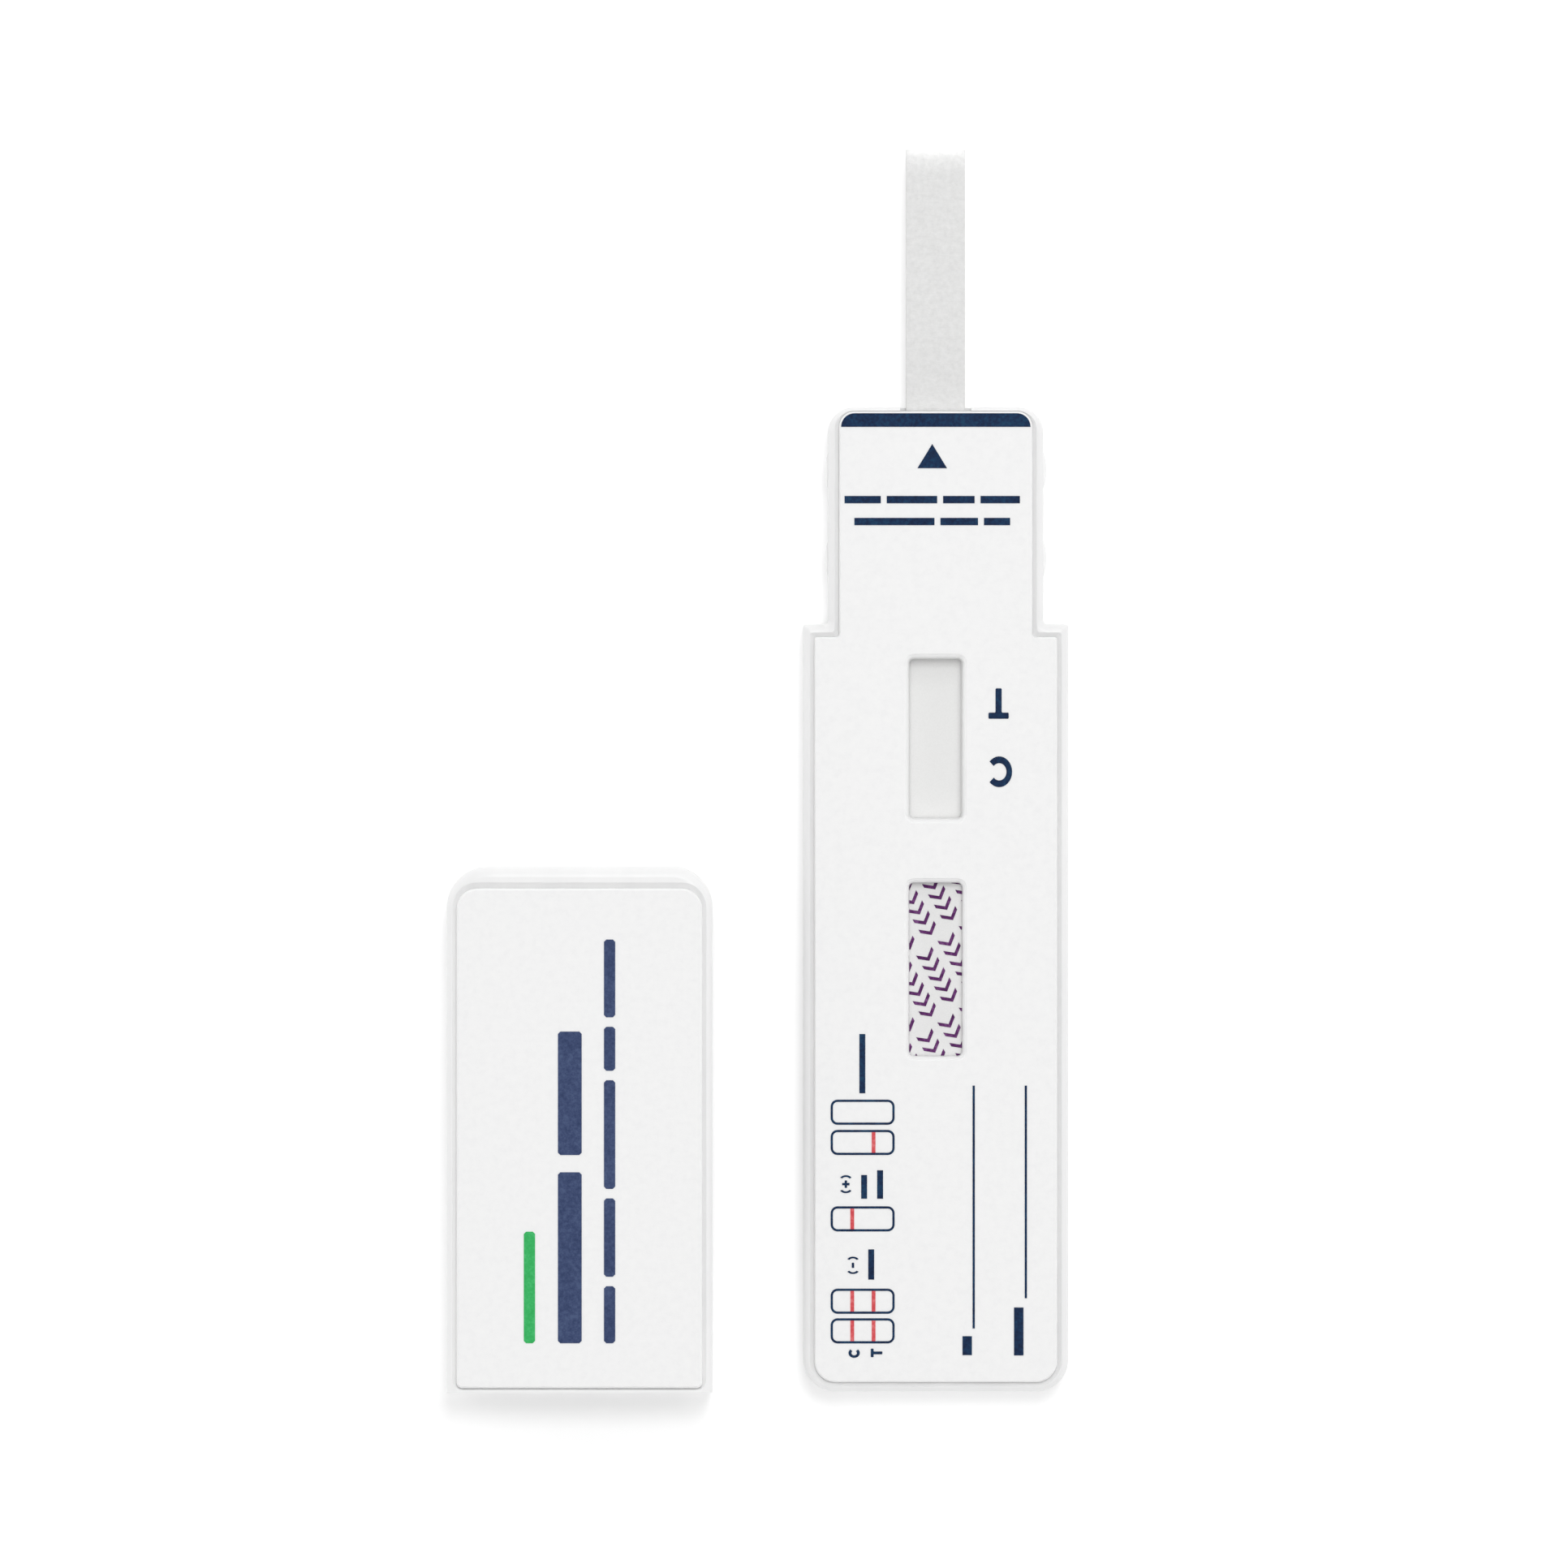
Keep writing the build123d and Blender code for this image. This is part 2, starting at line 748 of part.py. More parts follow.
def draw_upright_bars(place, height, lengths, gap):
    """Draws a row of bars that runs up the cap label from its mouth end."""
    bar_foot = foot_y + cap_panel_mouth_rim + label_inset + cap_print_foot
    for length in lengths:
        draw_bar(cap_x + place, bar_foot + length / 2, height, length)
        bar_foot += length + gap


# Green accent bar on the cap label
with BuildPart() as cap_print_green:
    with BuildSketch(Plane.XY.offset(cap_label_top)):
        draw_upright_bars(accent_place, accent_height, accent_lengths, cap_print_gap)
        chamfer(vertices(), cap_print_corner)
    extrude(amount=print_thickness)

cap_print_green.part.label = "cap_print_green"

# Dark title and subtitle bars on the cap label
with BuildPart() as cap_print_navy:
    with BuildSketch(Plane.XY.offset(cap_label_top)):
        draw_upright_bars(title_place, title_height, title_lengths, title_gap)
        draw_upright_bars(subtitle_place, subtitle_height, subtitle_lengths, cap_print_gap)
        chamfer(vertices(), cap_print_corner)
    extrude(amount=print_thickness)

cap_print_navy.part.label = "cap_print_navy"

os.makedirs("parts", exist_ok=True)
export_step(front_shell.part, "parts/front_shell.step")
export_step(back_shell.part, "parts/back_shell.step")
export_step(backing_card.part, "parts/backing_card.step")
export_step(sample_pad.part, "parts/sample_pad.step")
export_step(conjugate_pad.part, "parts/conjugate_pad.step")
export_step(membrane.part, "parts/membrane.step")
export_step(absorbent_pad.part, "parts/absorbent_pad.step")
export_step(cover_tape.part, "parts/cover_tape.step")
export_step(tape_print.part, "parts/tape_print.step")
export_step(front_label.part, "parts/front_label.step")
export_step(front_print_navy.part, "parts/front_print_navy.step")
export_step(front_print_red.part, "parts/front_print_red.step")
export_step(cap.part, "parts/cap.step")
export_step(cap_label.part, "parts/cap_label.step")
export_step(cap_print_green.part, "parts/cap_print_green.step")
export_step(cap_print_navy.part, "parts/cap_print_navy.step")
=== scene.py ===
"""Dresses and lights a lateral flow dip card and its cap, lying side by side on a white table."""

import logging
import math
from dataclasses import dataclass
from enum import Enum

import bmesh
import bpy
from bmesh.types import BMEdge, BMesh, BMFace, BMVert
from bpy.types import Material, Node, NodeSocket, Object, World
from mathutils import Matrix, Vector, noise


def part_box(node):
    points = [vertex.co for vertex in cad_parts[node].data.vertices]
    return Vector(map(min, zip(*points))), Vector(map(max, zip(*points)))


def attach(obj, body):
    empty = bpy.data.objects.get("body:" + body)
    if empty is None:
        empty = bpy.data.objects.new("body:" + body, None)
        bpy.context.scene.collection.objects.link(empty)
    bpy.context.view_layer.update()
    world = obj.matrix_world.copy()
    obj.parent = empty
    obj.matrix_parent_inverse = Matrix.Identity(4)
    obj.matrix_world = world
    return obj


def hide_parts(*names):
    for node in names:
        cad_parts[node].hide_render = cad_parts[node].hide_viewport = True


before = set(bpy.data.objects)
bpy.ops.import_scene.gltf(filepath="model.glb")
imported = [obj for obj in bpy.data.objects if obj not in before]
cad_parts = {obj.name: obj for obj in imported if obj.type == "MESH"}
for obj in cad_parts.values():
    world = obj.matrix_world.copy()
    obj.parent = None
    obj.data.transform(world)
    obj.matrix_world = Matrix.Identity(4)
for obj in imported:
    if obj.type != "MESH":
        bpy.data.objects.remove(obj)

log = logging.getLogger("dip_card")

MM = 0.001
BODY = "root"

Pair = tuple[float, float]
Triple = tuple[float, float, float]
Colour = Triple
Stops = tuple[tuple[float, Colour], ...]

WHITE = (1.0, 1.0, 1.0)
RIGHT = Vector((1.0, 0.0, 0.0)).freeze()
AHEAD = Vector((0.0, 1.0, 0.0)).freeze()

# The part of a noise's range that its values fill
NOISE_RANGE = (0.3, 0.7)

# How near two points count as one or as level, and how nearly alike two faces count as flat
TOUCHING = 0.001 * MM
LEVEL = 0.002 * MM
FLAT = math.radians(1.0)

# How much of a direction goes up where it counts as upright, and where it counts as sideways
UPRIGHT = 0.9
SIDEWAYS = 0.5

# Angles between the two faces at a corner, in degrees
SQUARE_CORNER = (80.0, 100.0)
CLIPPED_CORNER = (30.0, 60.0)


class Graph:
    """The node graph of one material or of the world, with short ways to add and join its nodes."""

    def __init__(self, owner: Material | World) -> None:
        """Turn on the owner's nodes and start from an empty graph.

        Args:
            owner: The material or world that the graph belongs to.
        """
        owner.use_nodes = True
        self.tree = owner.node_tree
        self.tree.nodes.clear()

    def add(self, kind: str, **inputs: object) -> Node:
        """Add a node and fill its inputs.

        Args:
            kind: The node's type name.
            inputs: Input names, with underscores for spaces, and a value or a socket for each.

        Returns:
            The new node.
        """
        node = self.tree.nodes.new(kind)
        for name, value in inputs.items():
            self.feed(node.inputs[name.replace("_", " ")], value)
        return node

    def feed(self, socket: NodeSocket, value: object) -> None:
        """Set a socket to a value, or join it to another socket.

        Args:
            socket: The input to fill.
            value: A number, a colour, a vector or the output that feeds it.
        """
        if isinstance(value, NodeSocket):
            self.tree.links.new(value, socket)
        elif isinstance(value, tuple) and socket.type == "RGBA":
            socket.default_value = (*value[:3], 1.0)
        else:
            socket.default_value = value

    def place(self, stretch: Triple = (1.0, 1.0, 1.0), turn: float = 0.0) -> NodeSocket:
        """Give the object's own coordinates in millimetres, stretched and turned for a pattern.

        Args:
            stretch: How many times finer the pattern is along each axis.
            turn: The pattern's turn about the upright axis, in degrees.

        Returns:
            The vector output.
        """
        source = self.add("ShaderNodeTexCoord")
        turned = self.add(
            "ShaderNodeMapping",
            Vector=source.outputs["Object"],
            Rotation=(0.0, 0.0, math.radians(turn)),
            Scale=tuple(share / MM for share in stretch),
        )
        return turned.outputs["Vector"]

    def clouds(
        self, where: NodeSocket, per_mm: float = 1.0, detail: float = 2.0, roughness: float = 0.5
    ) -> NodeSocket:
        """Add soft noise.

        Args:
            where: The vector that places it.
            per_mm: How many cells there are to a millimetre.
            detail: How many finer layers are added.
            roughness: How strong the finer layers are.

        Returns:
            The noise as a number about one half.
        """
        node = self.add(
            "ShaderNodeTexNoise", Vector=where, Scale=per_mm, Detail=detail, Roughness=roughness
        )
        return node.outputs["Fac"]

    def ramp(self, value: NodeSocket, stops: Stops) -> NodeSocket:
        """Turn a number into a colour.

        Args:
            value: The number.
            stops: Places from 0 to 1 and the colour at each.

        Returns:
            The colour output.
        """
        node = self.add("ShaderNodeValToRGB", Fac=value)
        elements = node.color_ramp.elements
        while len(elements) < len(stops):
            elements.new(1.0)
        for element, (at, colour) in zip(elements, stops):
            element.position = at
            element.color = (*colour, 1.0)
        return node.outputs["Color"]

    def fade(self, value: NodeSocket, from_range: Pair, to_range: Pair) -> NodeSocket:
        """Turn one range of numbers into another one, held at both ends.

        Args:
            value: The number.
            from_range: The first and last number that are read.
            to_range: What they turn into.

        Returns:
            The number's output.
        """
        node = self.add(
            "ShaderNodeMapRange",
            Value=value,
            From_Min=from_range[0],
            From_Max=from_range[1],
            To_Min=to_range[0],
            To_Max=to_range[1],
        )
        return node.outputs["Result"]

    def span(self, value: NodeSocket, low: float, high: float) -> NodeSocket:
        """Stretch the middle of a noise over a range of numbers.

        Args:
            value: The noise.
            low: The number where the noise is weakest.
            high: The number where it is strongest.

        Returns:
            The number's output.
        """
        return self.fade(value, NOISE_RANGE, (low, high))

    def join(self, kind: str, first: object, second: object) -> NodeSocket:
        """Join two numbers by a sum.

        Args:
            kind: The name of the sum, such as ADD or MAXIMUM.
            first: The first number or output.
            second: The second number or output.

        Returns:
            The result's output.
        """
        node = self.add("ShaderNodeMath")
        node.operation = kind
        self.feed(node.inputs[0], first)
        self.feed(node.inputs[1], second)
        return node.outputs["Value"]

    def relief(
        self, height: NodeSocket, depth: float, under: NodeSocket | None = None
    ) -> NodeSocket:
        """Raise a pattern on the surface.

        Args:
            height: The pattern.
            depth: Its height in millimetres.
            under: The normal that it lies on, where there is one.

        Returns:
            The normal output.
        """
        node = self.add("ShaderNodeBump", Height=height, Strength=1.0, Distance=depth * MM)
        if under is not None:
            self.feed(node.inputs["Normal"], under)
        return node.outputs["Normal"]

    def principled(self, **inputs: object) -> NodeSocket:
        """Add a principled shader.

        Args:
            inputs: Its inputs, as for any node.

        Returns:
            The shader output.
        """
        return self.add("ShaderNodeBsdfPrincipled", **inputs).outputs["BSDF"]

    def finish(self, surface: NodeSocket) -> None:
        """Join the surface to the material's output.

        Args:
            surface: The shader output.
        """
        self.add("ShaderNodeOutputMaterial", Surface=surface)

    def white_to_eye(self) -> NodeSocket:
        """Give 1 for the camera's rays and for mirrored and transmitted ones, and 0 for the light.

        Returns:
            The number's output.
        """
        rays = self.add("ShaderNodeLightPath").outputs
        mirrored = self.join("MAXIMUM", rays["Is Glossy Ray"], rays["Is Transmission Ray"])
        return self.join("MAXIMUM", rays["Is Camera Ray"], mirrored)


@dataclass(frozen=True)
class Finish:
    """What every finish has: a name, its middle shade, and a darker and a lighter one around it."""

    name: str
    shade: Colour
    deep: Colour
    light: Colour

    def stops(self, spread: float = 0.2) -> Stops:
        """Give the three shades as stops about one half.

        Args:
            spread: How far the outer shades lie from the middle one.

        Returns:
            The stops.
        """
        return ((0.5 - spread, self.deep), (0.5, self.shade), (0.5 + spread, self.light))

    def make(self) -> Material:
        """Make the material.

        Returns:
            The finished material.
        """
        material = bpy.data.materials.new(self.name)
        graph = Graph(material)
        graph.finish(self.surface(graph))
        return material

    def surface(self, graph: Graph) -> NodeSocket:
        """Build the finish's own nodes.

        Args:
            graph: The graph that they go into.

        Returns:
            The shader output.
        """
        raise NotImplementedError


@dataclass(frozen=True)
class MouldedPlastic(Finish):
    """Half glossy moulded polystyrene: fine eroded grain, a slow swell and clouds in the colour."""

    grain_per_mm: float = 4.5
    grain_height: float = 0.003
    swell_per_mm: float = 0.11
    swell_height: float = 0.03
    flow_stretch: Triple = (0.30, 0.07, 0.30)
    dullest: float = 0.4
    glossiest: float = 0.28

    def surface(self, graph: Graph) -> NodeSocket:
        """Build the plastic.

        Args:
            graph: The graph that the nodes go into.

        Returns:
            The shader output.
        """
        even = graph.place()
        flow = graph.clouds(graph.place(self.flow_stretch), detail=4.0, roughness=0.6)
        grain = graph.clouds(even, self.grain_per_mm, detail=3.0, roughness=0.6)
        swell = graph.clouds(even, self.swell_per_mm, detail=1.0)
        swollen = graph.relief(swell, self.swell_height)
        return graph.principled(
            Base_Color=graph.ramp(flow, self.stops()),
            Roughness=graph.span(grain, self.glossiest, self.dullest),
            Normal=graph.relief(grain, self.grain_height, swollen),
        )


@dataclass(frozen=True)
class CoatedPaper(Finish):
    """Coated label paper: soft mottling, a faint tooth of crossed fibres and a low gloss."""

    mottle_per_mm: float = 1.5
    tooth_per_mm: float = 7.0
    tooth_height: float = 0.004
    fibre_stretch: Triple = (0.8, 6.0, 1.0)
    fibre_turns: Pair = (24.0, 112.0)
    dullest: float = 0.42
    glossiest: float = 0.3
    specular: float = 0.15

    def surface(self, graph: Graph) -> NodeSocket:
        """Build the paper.

        Args:
            graph: The graph that the nodes go into.

        Returns:
            The shader output.
        """
        even = graph.place()
        mottle = graph.clouds(even, self.mottle_per_mm, detail=5.0, roughness=0.65)
        tooth = graph.clouds(even, self.tooth_per_mm)
        layers = [
            graph.clouds(graph.place(self.fibre_stretch, turn), detail=3.0)
            for turn in self.fibre_turns
        ]
        fibres = graph.join("MAXIMUM", *layers)
        return graph.principled(
            Base_Color=graph.ramp(mottle, self.stops()),
            Roughness=graph.span(tooth, self.glossiest, self.dullest),
            Normal=graph.relief(graph.join("ADD", tooth, fibres), self.tooth_height),
            Specular_IOR_Level=self.specular,
        )


@dataclass(frozen=True)
class PrintedInk(Finish):
    """Printed ink: a broken cover of darker and lighter specks, with the paper's tooth under it."""

    speck_per_mm: float = 3.2
    drift_per_mm: float = 0.5
    tooth_per_mm: float = 7.0
    tooth_height: float = 0.003
    speck_share: float = 0.7
    drift_share: float = 0.3
    spread: float = 0.14
    dullest: float = 0.6
    glossiest: float = 0.42
    specular: float = 0.08

    def surface(self, graph: Graph) -> NodeSocket:
        """Build the ink.

        Args:
            graph: The graph that the nodes go into.

        Returns:
            The shader output.
        """
        even = graph.place()
        specks = graph.clouds(even, self.speck_per_mm, detail=3.0, roughness=0.7)
        drift = graph.clouds(even, self.drift_per_mm)
        both = graph.join(
            "ADD",
            graph.join("MULTIPLY", specks, self.speck_share),
            graph.join("MULTIPLY", drift, self.drift_share),
        )
        tooth = graph.clouds(even, self.tooth_per_mm)
        return graph.principled(
            Base_Color=graph.ramp(both, self.stops(self.spread)),
            Roughness=graph.span(specks, self.glossiest, self.dullest),
            Normal=graph.relief(tooth, self.tooth_height),
            Specular_IOR_Level=self.specular,
        )


@dataclass(frozen=True)
class PressedFibre(Finish):
    """Pressed fibre board: three crossed layers of fine fibres, mottled, with a painted highlight
    at the tip.
    """

    mottle_per_mm: float = 2.4
    fibre_stretch: Triple = (0.9, 9.0, 3.0)
    fibre_turns: Triple = (12.0, 71.0, 133.0)
    fibre_height: float = 0.02
    pulp_per_mm: float = 3.5
    mottle_share: float = 0.75
    fibre_share: float = 0.22
    spread: float = 0.12
    # Painted highlight at the strip's tip: its colour, where along Y it fades in (mm), and how far
    # it lifts the tone
    tip_highlight_shade: Colour = (0.96, 0.96, 0.955)
    tip_highlight_range: Pair = (61.2, 63.6)
    tip_highlight_share: float = 0.5
    dullest: float = 0.95
    glossiest: float = 0.85
    specular: float = 0.2
    sheen: float = 0.12
    sheen_roughness: float = 0.6

    def surface(self, graph: Graph) -> NodeSocket:
        """Build the fibre board.

        Args:
            graph: The graph that the nodes go into.

        Returns:
            The shader output.
        """
        even = graph.place()
        mottle = graph.clouds(even, self.mottle_per_mm, detail=5.0, roughness=0.7)
        fibres = graph.clouds(even, self.pulp_per_mm)
        for turn in self.fibre_turns:
            layer = graph.clouds(graph.place(self.fibre_stretch, turn))
            fibres = graph.join("MAXIMUM", fibres, layer)
        tone = graph.join(
            "ADD",
            graph.join("MULTIPLY", mottle, self.mottle_share),
            graph.join("MULTIPLY", fibres, self.fibre_share),
        )
        # Painted highlight: the tone is lifted towards the strip's tip, as if its rounded end
        # caught the light
        along = graph.add("ShaderNodeSeparateXYZ", Vector=even).outputs["Y"]
        painted_tip_highlight = graph.fade(along, self.tip_highlight_range, (0.0, self.tip_highlight_share))
        tone = graph.join("ADD", tone, painted_tip_highlight)
        return graph.principled(
            Base_Color=graph.ramp(tone, (*self.stops(self.spread), (1.0, self.tip_highlight_shade))),
            Roughness=graph.span(fibres, self.dullest, self.glossiest),
            Normal=graph.relief(fibres, self.fibre_height),
            Specular_IOR_Level=self.specular,
            Sheen_Weight=self.sheen,
            Sheen_Roughness=self.sheen_roughness,
        )


@dataclass(frozen=True)
class ThinFilm(Finish):
    """Thin tape or porous film: tiny pores, slow ripples along the strip and a set gloss."""

    pore_per_mm: float = 9.0
    pore_height: float = 0.002
    ripple_stretch: Triple = (0.5, 0.16, 0.5)
    ripple_height: float = 0.02
    dullest: float = 0.5
    glossiest: float = 0.35

    def surface(self, graph: Graph) -> NodeSocket:
        """Build the film.

        Args:
            graph: The graph that the nodes go into.

        Returns:
            The shader output.
        """
        even = graph.place()
        pores = graph.clouds(even, self.pore_per_mm, detail=3.0, roughness=0.6)
        ripple = graph.clouds(graph.place(self.ripple_stretch), detail=1.0)
        rippled = graph.relief(ripple, self.ripple_height)
        return graph.principled(
            Base_Color=graph.ramp(pores, self.stops()),
            Roughness=graph.span(pores, self.glossiest, self.dullest),
            Normal=graph.relief(pores, self.pore_height, rippled),
        )


@dataclass(frozen=True)
class WhiteTable(Finish):
    """Plain white table: matt, and a little brighter to the eye, so that only shadow shows."""

    lift: float = 0.25

    def surface(self, graph: Graph) -> NodeSocket:
        """Build the table top.

        Args:
            graph: The graph that the nodes go into.

        Returns:
            The shader output.
        """
        top = graph.add("ShaderNodeBsdfDiffuse", Color=self.shade)
        strength = graph.join("MULTIPLY", graph.white_to_eye(), self.lift)
        glow = graph.add("ShaderNodeEmission", Strength=strength)
        both = graph.add("ShaderNodeAddShader")
        graph.feed(both.inputs[0], top.outputs["BSDF"])
        graph.feed(both.inputs[1], glow.outputs["Emission"])
        return both.outputs["Shader"]


HOUSING_PLASTIC = MouldedPlastic(
    "housing_plastic_grain", (0.85, 0.85, 0.85), (0.83, 0.83, 0.832), (0.87, 0.87, 0.868)
)
CAP_PLASTIC = MouldedPlastic(
    "cap_plastic_grain", (0.86, 0.86, 0.86), (0.84, 0.84, 0.842), (0.88, 0.88, 0.878)
)
LABEL_PAPER = CoatedPaper(
    "label_paper_tooth", (0.9, 0.9, 0.9), (0.878, 0.878, 0.88), (0.914, 0.914, 0.912)
)
NAVY_INK = PrintedInk(
    "navy_ink_specks", (0.008, 0.026, 0.075), (0.0045, 0.013, 0.043), (0.012, 0.05, 0.11)
)
RED_INK = PrintedInk(
    "red_ink_specks", (0.672, 0.089, 0.102), (0.58, 0.06, 0.075), (0.76, 0.2, 0.21)
)
GREEN_INK = PrintedInk(
    "green_ink_specks", (0.045, 0.456, 0.127), (0.035, 0.4, 0.1), (0.08, 0.52, 0.18)
)
SLATE_INK = PrintedInk(
    "slate_ink_specks", (0.047, 0.069, 0.156), (0.03, 0.048, 0.12), (0.07, 0.1, 0.2)
)
PURPLE_INK = PrintedInk(
    "purple_ink_specks", (0.112, 0.024, 0.13), (0.07, 0.016, 0.085), (0.22, 0.085, 0.245)
)
TAPE_FILM = ThinFilm(
    "tape_film_ripple", (0.82, 0.82, 0.815), (0.79, 0.79, 0.792), (0.848, 0.848, 0.84)
)
MEMBRANE_FILM = ThinFilm(
    "membrane_film_pores",
    (0.89, 0.89, 0.882),
    (0.865, 0.865, 0.857),
    (0.908, 0.908, 0.9),
    dullest=0.9,
    glossiest=0.75,
)
CARD_PLASTIC = ThinFilm(
    "card_plastic_sheet",
    (0.84, 0.84, 0.83),
    (0.81, 0.81, 0.8),
    (0.86, 0.86, 0.852),
    pore_per_mm=4.0,
)
PAD_FIBRE = PressedFibre(
    "pad_fibre_felt", (0.775, 0.775, 0.77), (0.735, 0.735, 0.73), (0.81, 0.81, 0.806)
)
CONJUGATE_FIBRE = PressedFibre(
    "conjugate_fibre_glass", (0.78, 0.74, 0.72), (0.72, 0.67, 0.65), (0.82, 0.79, 0.775)
)
TABLE_WHITE = (0.9, 0.9, 0.9)
TABLE_TOP = WhiteTable("white_table_top", TABLE_WHITE, TABLE_WHITE, TABLE_WHITE)


def dress(node: str, material: Material) -> None:
    """Give a carried-over solid its finished material.

    Args:
        node: The solid's name.
        material: The material for all of its slots.
    """
    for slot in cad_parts[node].material_slots:
        slot.material = material
    log.info("%s keeps its solid and gets %s", node, material.name)


def settle(bm: BMesh, name: str, material: Material) -> Object:
    """Turn a finished bmesh into a piece that rides with the card.

    Args:
        bm: The bmesh in metres, in the shared frame.
        name: The piece's name.
        material: Its material.

    Returns:
        The new object.
    """
    mesh = bpy.data.meshes.new(name)
    bm.to_mesh(mesh)
    bm.free()
    mesh.materials.append(material)
    piece = bpy.data.objects.new(name, mesh)
    bpy.context.scene.collection.objects.link(piece)
    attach(piece, BODY)
    log.info("%s: %d faces, finish %s", name, len(mesh.polygons), material.name)
    return piece


def merged_copy(node: str) -> BMesh:
    """Copy a carried-over solid, merge its loose triangles and join the flat ones.

    Args:
        node: The solid's name.

    Returns:
        The copy as a bmesh.
    """
    bm = bmesh.new()
    bm.from_mesh(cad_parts[node].data)
    bmesh.ops.remove_doubles(bm, verts=bm.verts[:], dist=TOUCHING)
    bmesh.ops.dissolve_limit(bm, angle_limit=FLAT, verts=bm.verts[:], edges=bm.edges[:])
    return bm


def separate_forms(bm: BMesh) -> list[list[BMVert]]:
    """Split a bmesh into the forms that don't touch.

    Args:
        bm: The bmesh.

    Returns:
        The vertices of each form.
    """
    forms, seen = [], set()
    for start in bm.verts:
        if start not in seen:
            seen.add(start)
            form = [start]
            for vert in form:
                near = [edge.other_vert(vert) for edge in vert.link_edges]
                form.extend(other for other in near if other not in seen)
                seen.update(near)
            forms.append(form)
    return forms


def resize_form(form: list[BMVert], axis: int, size: float) -> None:
    """Scale one form along one axis, about its middle.

    Args:
        form: The form's vertices.
        axis: The axis, 0 for X, 1 for Y and 2 for Z.
        size: The form's new length along it.
    """
    spread = [vert.co[axis] for vert in form]
    middle = (min(spread) + max(spread)) / 2
    factor = size / (max(spread) - min(spread))
    for vert in form:
        vert.co[axis] = middle + (vert.co[axis] - middle) * factor


def top_rim(bm: BMesh, height: float) -> list[BMEdge]:
    """Find the edges round a flat top.

    Args:
        bm: The bmesh to look through.
        height: The top's height in metres.

    Returns:
        The edges at that height with one face up and one to the side.
    """
    rim = []
    for edge in bm.edges:
        level = all(abs(vert.co.z - height) < LEVEL for vert in edge.verts)
        if level and len(edge.link_faces) == 2:
            rises = sorted(abs(face.normal.z) for face in edge.link_faces)
            if rises[0] < SIDEWAYS and rises[1] > UPRIGHT:
                rim.append(edge)
    return rim


def stands_at_corner(edge: BMEdge, angles: Pair) -> bool:
    """Tell whether an edge stands upright at an outer or inner corner of a certain kind.

    Args:
        edge: The edge.
        angles: The smallest and the largest angle between its faces, in degrees.

    Returns:
        True where it does.
    """
    along = edge.verts[0].co - edge.verts[1].co
    if abs(along.z) <= UPRIGHT * along.length or len(edge.link_faces) != 2:
        return False
    return angles[0] < math.degrees(edge.calc_face_angle()) < angles[1]


def bevel(bm: BMesh, edges: list[BMEdge], reach: float, steps: int) -> list[BMFace]:
    """Round some edges off.

    Args:
        bm: The bmesh.
        edges: Its edges to round.
        reach: How far the rounding reaches, in the bmesh's own unit.
        steps: How many steps it has.

    Returns:
        The faces of the rounding.
    """
    rounded = bmesh.ops.bevel(
        bm,
        geom=edges,
        offset=reach,
        offset_type="OFFSET",
        segments=steps,
        profile=0.5,
        affect="EDGES",
        material=-1,
        clamp_overlap=True,
    )
    return rounded["faces"]


def round_upright(bm: BMesh, reach: float, steps: int) -> None:
    """Round the upright edges at a bmesh's square corners off.

    Args:
        bm: The bmesh.
        reach: How far the rounding reaches, in the bmesh's own unit.
        steps: How many steps it has.
    """
    bevel(bm, [edge for edge in bm.edges if stands_at_corner(edge, SQUARE_CORNER)], reach, steps)


def pour(part: BMesh, whole: BMesh) -> None:
    """Add a bmesh to another one and free it.

    Args:
        part: The bmesh that is added.
        whole: The bmesh that it goes into.
    """
    mesh = bpy.data.meshes.new("poured")
    part.to_mesh(mesh)
    part.free()
    whole.from_mesh(mesh)
    bpy.data.meshes.remove(mesh)


@dataclass
class FinerPiece:
    """A piece that takes a solid's place: a copy of the solid, reshaped."""

    node: str
    name: str
    slot: str

    def lay(self, material: Material) -> None:
        """Make the piece in place of its solid.

        Args:
            material: The piece's material.
        """
        bm = merged_copy(self.node)
        self.reshape(bm)
        piece = settle(bm, self.name, material)
        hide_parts(self.node)

    def reshape(self, bm: BMesh) -> None:
        """Give the copy its finer form.

        Args:
            bm: The copy.
        """
        raise NotImplementedError


